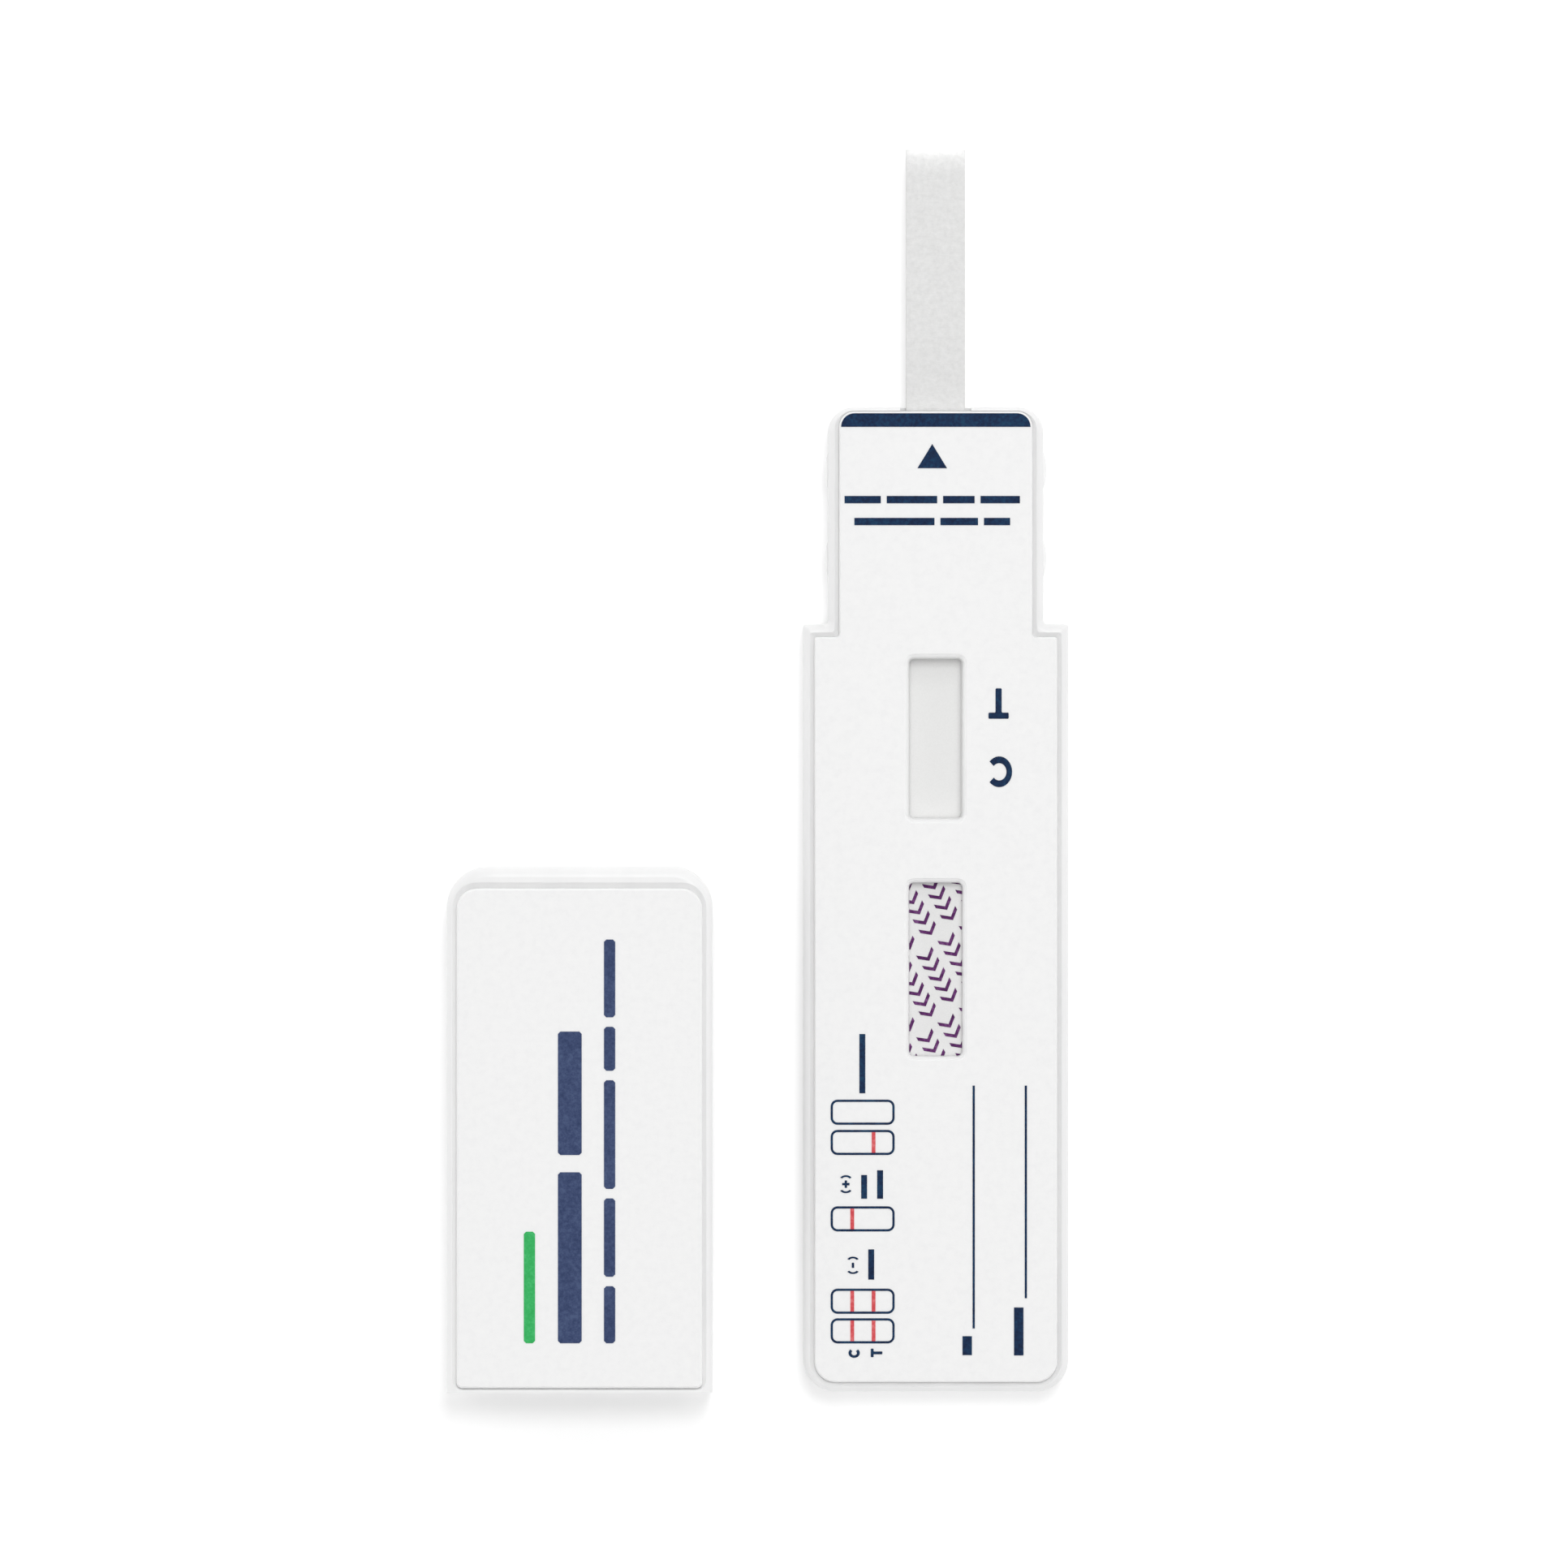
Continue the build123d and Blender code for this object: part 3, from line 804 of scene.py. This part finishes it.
@dataclass
class LegendPrint(FinerPiece):
    """The label's dark print, with round corners on its result boxes and full writing lines."""

    node: str = "front_print_navy"
    name: str = "front_label_print"
    slot: str = "ink_navy"
    line: float = 0.19
    corner: float = 0.58
    corner_steps: int = 6
    clipped_edges: int = 8

    def reshape(self, bm: BMesh) -> None:
        """Draw the result boxes anew and widen the writing lines.

        Args:
            bm: The copy.
        """
        for form in separate_forms(bm):
            edges = {edge for vert in form for edge in vert.link_edges}
            clipped = sum(stands_at_corner(edge, CLIPPED_CORNER) for edge in edges)
            spread = [[vert.co[axis] for vert in form] for axis in range(3)]
            low, high = Vector(map(min, spread)), Vector(map(max, spread))
            if clipped >= self.clipped_edges:
                self.draw_box(bm, low, high)
                bmesh.ops.delete(bm, geom=form, context="VERTS")
            elif high.x - low.x < self.line * MM:
                resize_form(form, 0, self.line * MM)

    def draw_box(self, bm: BMesh, low: Vector, high: Vector) -> None:
        """Draw the outline of one result box.

        Args:
            bm: The bmesh of the whole print.
            low: The box's lowest corner.
            high: Its highest corner.
        """
        box = bmesh.new()
        size = Matrix.Diagonal((*(high - low), 1.0))
        bmesh.ops.create_cube(box, size=1.0, matrix=Matrix.Translation((low + high) / 2) @ size)
        round_upright(box, self.corner * MM, self.corner_steps)
        ends = [face for face in box.faces if abs(face.normal.z) > UPRIGHT]
        bmesh.ops.inset_individual(box, faces=ends, thickness=self.line * MM, use_even_offset=True)
        rims = [edge for face in ends for edge in face.edges]
        bmesh.ops.delete(box, geom=ends, context="FACES_ONLY")
        bmesh.ops.bridge_loops(box, edges=rims)
        bmesh.ops.recalc_face_normals(box, faces=box.faces[:])
        pour(box, bm)


@dataclass
class ResultLines(FinerPiece):
    """The red lines in the result boxes, which end where the boxes' own lines begin."""

    node: str = "front_print_red"
    name: str = "front_label_lines"
    slot: str = "ink_red"
    length: float = 1.74

    def reshape(self, bm: BMesh) -> None:
        """Shorten the lines.

        Args:
            bm: The copy.
        """
        for form in separate_forms(bm):
            resize_form(form, 1, self.length * MM)


@dataclass
class PaperLabel(FinerPiece):
    """A printed label: the solid's outline and openings, with its cut edges rolled softly over."""

    slot: str = "label_paper"
    edge_roll: float = 0.08
    edge_steps: int = 3

    def reshape(self, bm: BMesh) -> None:
        """Roll the upper edges over.

        Args:
            bm: The copy.
        """
        rim = top_rim(bm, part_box(self.node)[1].z)
        for face in bevel(bm, rim, self.edge_roll * MM, self.edge_steps):
            face.smooth = True


@dataclass
class FibrePad(FinerPiece):
    """A pad of pressed fibre: rubbed edges and an uneven face, on small cells."""

    edge_rub: float = 0.14
    edge_steps: int = 3
    cell: float = 0.5
    sag: float = 0.045
    swell_per_mm: float = 0.9

    def reshape(self, bm: BMesh) -> None:
        """Rub the upper edges, cut the pad into cells and press it in unevenly.

        Args:
            bm: The copy.
        """
        low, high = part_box(self.node)
        bevel(bm, top_rim(bm, high.z), self.edge_rub * MM, self.edge_steps)
        for axis, along in enumerate((RIGHT, AHEAD)):
            self.cut(bm, low, high, axis, along)
        self.make_uneven(bm, low, high)
        for face in bm.faces:
            face.smooth = True

    def cut(self, bm: BMesh, low: Vector, high: Vector, axis: int, along: Vector) -> None:
        """Cut the pad into cells along one axis.

        Args:
            bm: The pad.
            low: Its lowest corner.
            high: Its highest corner.
            axis: The axis that the cuts step along.
            along: That axis as a vector.
        """
        count = max(2, round((high[axis] - low[axis]) / (self.cell * MM)))
        for step in range(1, count):
            at = along * (low[axis] + (high[axis] - low[axis]) * step / count)
            geometry = bm.verts[:] + bm.edges[:] + bm.faces[:]
            bmesh.ops.bisect_plane(bm, geom=geometry, dist=TOUCHING, plane_co=at, plane_no=along)

    def make_uneven(self, bm: BMesh, low: Vector, high: Vector) -> None:
        """Press the pad's top and sides in unevenly, and leave its bottom flat.

        Args:
            bm: The pad.
            low: Its lowest corner.
            high: Its highest corner.
        """
        middle = (low.x + high.x) / 2
        half = (high.x - low.x) / 2
        for vert in bm.verts:
            lift = (vert.co.z - low.z) / (high.z - low.z)
            press = self.sag * MM * (0.5 + 0.5 * noise.noise(vert.co * (self.swell_per_mm / MM)))
            vert.co.x -= (vert.co.x - middle) / half * press
            vert.co.z -= press * lift


class Sign(Enum):
    """The generic signs printed on the label."""

    TEE = "T"
    CEE = "C"
    PLUS = "+"
    MINUS = "-"


class Facing(Enum):
    """The way a sign's head points, as degrees of turn from upright."""

    LEFT = 90.0
    DOWN = 180.0


# Where the strokes of a C and of a left bracket start, and how far they go round, in degrees
CEE_START, CEE_SWEEP = 42.0, 276.0
BRACKET_START, BRACKET_SWEEP = 120.0, 120.0
ARC_STEPS = 24

# A bracket's ellipse and the arms of a plus and a minus, as shares of the sign's width
BRACKET_SHARE = 0.55
ARM_SHARES = {Sign.PLUS: 0.14, Sign.MINUS: 0.08}

# The rounding at a stroke's corners, as a share of the stroke
STROKE_CORNER = 0.16
STROKE_CORNER_STEPS = 2


@dataclass(frozen=True)
class PrintedSign:
    """One sign, measured in millimetres as it reads upright, and its middle on the label."""

    sign: Sign
    facing: Facing
    middle: Pair
    width: float
    height: float
    stroke: float

    def draw(self, bm: BMesh, bottom: float, top: float) -> None:
        """Add the sign to a bmesh.

        Args:
            bm: The bmesh that holds all signs.
            bottom: The height of the ink's underside in metres.
            top: The height of its upper side in metres.
        """
        sign = bmesh.new()
        depth = (top - bottom) / MM
        if self.sign is Sign.TEE:
            self.draw_tee(sign, depth)
        elif self.sign is Sign.CEE:
            span = (self.width, self.height)
            self.draw_arc(sign, depth, (0.0, 0.0), span, CEE_START, CEE_SWEEP)
        else:
            self.draw_bracketed(sign, depth)
        bmesh.ops.recalc_face_normals(sign, faces=sign.faces[:])
        turned = Matrix.Rotation(math.radians(self.facing.value), 4, "Z")
        spot = Vector((self.middle[0] * MM, self.middle[1] * MM, (bottom + top) / 2))
        placed = Matrix.Translation(spot) @ turned @ Matrix.Scale(MM, 4)
        bmesh.ops.transform(sign, matrix=placed, verts=sign.verts[:])
        pour(sign, bm)

    def draw_cross(
        self, bm: BMesh, depth: float, spot: Vector, pulls: list[tuple[Vector, float]]
    ) -> None:
        """Draw a block as wide as the stroke and pull arms out of its sides.

        Args:
            bm: The sign's bmesh.
            depth: The ink's thickness.
            spot: The block's middle.
            pulls: The direction and length of each arm.
        """
        size = Matrix.Diagonal((self.stroke, self.stroke, depth, 1.0))
        block = bmesh.ops.create_cube(bm, size=1.0, matrix=Matrix.Translation(spot) @ size)
        sides = {face for vert in block["verts"] for face in vert.link_faces}
        for direction, reach in pulls:
            side = max(sides, key=lambda face: face.calc_center_median().dot(direction))
            sides.remove(side)
            arm = bmesh.ops.extrude_discrete_faces(bm, faces=[side])["faces"][0]
            bmesh.ops.translate(bm, vec=direction * reach, verts=arm.verts[:])
        round_upright(bm, self.stroke * STROKE_CORNER, STROKE_CORNER_STEPS)

    def draw_tee(self, bm: BMesh, depth: float) -> None:
        """Draw a letter T.

        Args:
            bm: The sign's bmesh.
            depth: The ink's thickness.
        """
        arm = (self.width - self.stroke) / 2
        head = Vector((0.0, (self.height - self.stroke) / 2, 0.0))
        pulls = [(RIGHT, arm), (-RIGHT, arm), (-AHEAD, self.height - self.stroke)]
        self.draw_cross(bm, depth, head, pulls)

    def draw_arc(
        self, bm: BMesh, depth: float, middle: Pair, span: Pair, start: float, sweep: float
    ) -> None:
        """Sweep the stroke's section round part of an ellipse.

        Args:
            bm: The sign's bmesh.
            depth: The ink's thickness.
            middle: The ellipse's middle.
            span: The ellipse's outer width and height.
            start: Where the stroke starts, in degrees from the right.
            sweep: How far it goes round, in degrees.
        """
        radius = span[1] / 2
        standing = Matrix.Rotation(math.radians(90.0), 4, "X")
        section = bmesh.ops.create_grid(
            bm,
            x_segments=1,
            y_segments=1,
            size=0.5,
            matrix=Matrix.Rotation(math.radians(start), 4, "Z")
            @ Matrix.Translation((radius - self.stroke / 2, 0.0, 0.0))
            @ standing
            @ Matrix.Diagonal((self.stroke, depth, 1.0, 1.0)),
        )
        corners = section["verts"]
        edges = {edge for vert in corners for edge in vert.link_edges}
        faces = {face for vert in corners for face in vert.link_faces}
        before = set(bm.verts) - set(corners)
        bmesh.ops.spin(
            bm,
            geom=corners + list(edges) + list(faces),
            cent=(0.0, 0.0, 0.0),
            axis=(0.0, 0.0, 1.0),
            angle=math.radians(sweep),
            steps=ARC_STEPS,
            use_merge=False,
            use_duplicate=False,
        )
        drawn = [vert for vert in bm.verts if vert not in before]
        bmesh.ops.scale(bm, vec=(span[0] / span[1], 1.0, 1.0), verts=drawn)
        bmesh.ops.translate(bm, vec=(middle[0], middle[1], 0.0), verts=drawn)

    def draw_bracketed(self, bm: BMesh, depth: float) -> None:
        """Draw a plus or minus between two round brackets.

        Args:
            bm: The sign's bmesh.
            depth: The ink's thickness.
        """
        bracket = (self.width * BRACKET_SHARE, self.height)
        left = -self.width / 2 + bracket[0] / 2
        self.draw_arc(bm, depth, (left, 0.0), bracket, BRACKET_START, BRACKET_SWEEP)
        self.draw_arc(bm, depth, (-left, 0.0), bracket, BRACKET_START - 180.0, BRACKET_SWEEP)
        arm = self.width * ARM_SHARES[self.sign]
        pulls = [(RIGHT, arm), (-RIGHT, arm)]
        if self.sign is Sign.PLUS:
            pulls += [(AHEAD, arm), (-AHEAD, arm)]
        self.draw_cross(bm, depth, Vector((0.0, 0.0, 0.0)), pulls)


@dataclass
class DipCard:
    """The moulded housing with its label, the label's print and its generic signs."""

    sink: float = 0.01
    signs: tuple[PrintedSign, ...] = (
        PrintedSign(Sign.TEE, Facing.DOWN, (5.3, 16.54), width=1.71, height=2.57, stroke=0.52),
        PrintedSign(Sign.CEE, Facing.DOWN, (5.35, 10.78), width=2.19, height=2.6, stroke=0.57),
        PrintedSign(Sign.CEE, Facing.LEFT, (-6.89, -38.27), width=0.82, height=0.96, stroke=0.25),
        PrintedSign(Sign.TEE, Facing.LEFT, (-5.0, -38.26), width=0.72, height=0.98, stroke=0.24),
        PrintedSign(Sign.PLUS, Facing.LEFT, (-7.59, -24.02), width=1.52, height=1.1, stroke=0.2),
        PrintedSign(Sign.MINUS, Facing.LEFT, (-6.99, -30.87), width=1.46, height=1.1, stroke=0.2),
    )

    def build(self) -> None:
        """Dress the shells and the print, and lay the label and its signs."""
        plastic = HOUSING_PLASTIC.make()
        dress("front_shell", plastic)
        dress("back_shell", plastic)
        PaperLabel("front_label", "front_label_paper").lay(LABEL_PAPER.make())
        navy = NAVY_INK.make()
        LegendPrint().lay(navy)
        ResultLines().lay(RED_INK.make())
        self.print_signs(navy)

    def print_signs(self, navy: Material) -> None:
        """Print the signs on the label, as one piece.

        Args:
            navy: The ink's material.
        """
        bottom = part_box("front_label")[1].z - self.sink * MM
        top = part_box("front_print_navy")[1].z
        bm = bmesh.new()
        for sign in self.signs:
            sign.draw(bm, bottom, top)
        settle(bm, "front_label_signs", navy)


@dataclass
class TestStrip:
    """The strip inside the card: its backing card, pads, membrane, tape and the tape's print."""

    pads: tuple[FibrePad, ...] = (
        FibrePad("sample_pad", "sample_pad_felt", "pad_fibre"),
        FibrePad("absorbent_pad", "absorbent_pad_felt", "pad_fibre"),
        FibrePad("conjugate_pad", "conjugate_pad_felt", "conjugate_fibre", edge_rub=0.05, sag=0.02),
    )

    def build(self) -> None:
        """Lay the pads and dress the films."""
        fibres = {"pad_fibre": PAD_FIBRE.make(), "conjugate_fibre": CONJUGATE_FIBRE.make()}
        for pad in self.pads:
            pad.lay(fibres[pad.slot])
        dress("backing_card", CARD_PLASTIC.make())
        dress("membrane", MEMBRANE_FILM.make())
        dress("cover_tape", TAPE_FILM.make())
        dress("tape_print", PURPLE_INK.make())


class SleeveCap:
    """The cap that was taken off, with its label and print."""

    def build(self) -> None:
        """Dress the sleeve and the print, and lay the label."""
        dress("cap", CAP_PLASTIC.make())
        PaperLabel("cap_label", "cap_label_paper").lay(LABEL_PAPER.make())
        dress("cap_print_green", GREEN_INK.make())
        dress("cap_print_navy", SLATE_INK.make())


@dataclass(frozen=True)
class SoftLamp:
    """One large soft lamp: where it hangs, its size and the share of plain light that it gives.

    Its bearing from +Y towards +X and its rise are in degrees, its distance and size in metres.
    """

    name: str
    bearing: float
    rise: float
    distance: float
    size: float
    share: float

    def hang(self, aim: Vector) -> None:
        """Hang the lamp, as strong as it takes to give the level table its share of plain light.

        Args:
            aim: The spot that it points to, in metres.
        """
        turn = math.radians(self.bearing)
        lift = math.radians(self.rise)
        level = math.cos(lift)
        away = Vector((math.sin(turn) * level, math.cos(turn) * level, math.sin(lift)))
        data = bpy.data.lights.new(self.name, "AREA")
        data.shape = "DISK"
        data.size = self.size
        data.energy = self.share * math.pi**2 * self.distance**2 / math.sin(lift)
        lamp = bpy.data.objects.new(self.name, data)
        lamp.location = aim + away * self.distance
        lamp.rotation_euler = away.to_track_quat("Z", "Y").to_euler()
        bpy.context.scene.collection.objects.link(lamp)
        log.info("%s gives %.2f of the light", self.name, self.share)


@dataclass
class Studio:
    """The white table, the soft light and the camera that looks straight down."""

    aim: Pair = (-12.81, 9.75)
    picture_width: float = 132.33
    label_level: float = 4.9
    camera_distance: float = 1200.0
    camera_sight: float = 50.0
    sensor: float = 36.0
    table_reach: float = 2.5
    table_cells: int = 8
    table_drop: float = 0.02
    zenith: float = 0.45
    horizon: float = 1.6
    band: Pair = (0.2, 0.5)
    lamps: tuple[SoftLamp, ...] = (
        SoftLamp("key_lamp", bearing=14.0, rise=46.0, distance=1.6, size=0.6, share=0.06),
        SoftLamp("high_lamp", bearing=16.0, rise=73.0, distance=1.6, size=0.55, share=0.26),
        SoftLamp("top_lamp", bearing=180.0, rise=84.0, distance=2.0, size=0.9, share=0.07),
    )

    def build(self) -> None:
        """Set up the table, the light and the camera."""
        self.lay_table()
        self.light_sky()
        spot = Vector((self.aim[0] * MM, self.aim[1] * MM, 0.0))
        for lamp in self.lamps:
            lamp.hang(spot)
        self.set_camera()
        bpy.context.scene.view_settings.view_transform = "Standard"

    def lay_table(self) -> None:
        """Lay the table top under the card."""
        bm = bmesh.new()
        bmesh.ops.create_grid(
            bm,
            x_segments=self.table_cells,
            y_segments=self.table_cells,
            size=self.table_reach,
            matrix=Matrix.Translation((0.0, 0.0, -self.table_drop * MM)),
        )
        mesh = bpy.data.meshes.new("table_top")
        bm.to_mesh(mesh)
        bm.free()
        mesh.materials.append(TABLE_TOP.make())
        table = bpy.data.objects.new("table_top", mesh)
        bpy.context.scene.collection.objects.link(table)
        log.info("table_top lies under the card")

    def light_sky(self) -> None:
        """Light everything softly, most from low down, with a white backdrop for the eye."""
        world = bpy.data.worlds.new("studio_sky")
        bpy.context.scene.world = world
        graph = Graph(world)
        towards = graph.add("ShaderNodeTexCoord").outputs["Generated"]
        height = graph.add("ShaderNodeSeparateXYZ", Vector=towards).outputs["Z"]
        strength = graph.fade(height, self.band, (self.horizon, self.zenith))
        soft = graph.add("ShaderNodeBackground", Color=WHITE, Strength=strength)
        seen = graph.add("ShaderNodeBackground", Color=WHITE, Strength=1.0)
        both = graph.add("ShaderNodeMixShader", Fac=graph.white_to_eye())
        graph.feed(both.inputs[1], soft.outputs["Background"])
        graph.feed(both.inputs[2], seen.outputs["Background"])
        graph.add("ShaderNodeOutputWorld", Surface=both.outputs["Shader"])
        log.info("studio_sky: %.2f from above, %.2f from low down", self.zenith, self.horizon)

    def set_camera(self) -> None:
        """Hang the camera over the picture's middle, with the strip's tip at the top."""
        data = bpy.data.cameras.new("camera")
        data.sensor_fit = "HORIZONTAL"
        data.sensor_width = self.sensor
        data.lens = self.sensor * self.camera_distance / self.picture_width
        data.clip_end = self.camera_sight
        camera = bpy.data.objects.new("camera", data)
        camera.location = Vector((*self.aim, self.label_level + self.camera_distance)) * MM
        bpy.context.scene.collection.objects.link(camera)
        bpy.context.scene.camera = camera
        log.info("camera lens %.0f mm", data.lens)


def corners(box: tuple[Vector, Vector]) -> list[list[float]]:
    """Give a box as plain lists of numbers.

    Args:
        box: Its lowest and highest corner.

    Returns:
        The corners' coordinates.
    """
    return [[float(value) for value in corner] for corner in box]


def main() -> None:
    """Build the studio, then the card, the strip and the cap."""
    logging.basicConfig(level=logging.INFO, format="%(message)s")
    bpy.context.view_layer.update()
    for assembly in (Studio(), DipCard(), TestStrip(), SleeveCap()):
        assembly.build()
        log.info("%s is done", type(assembly).__name__)


if __name__ == "__main__":
    main()
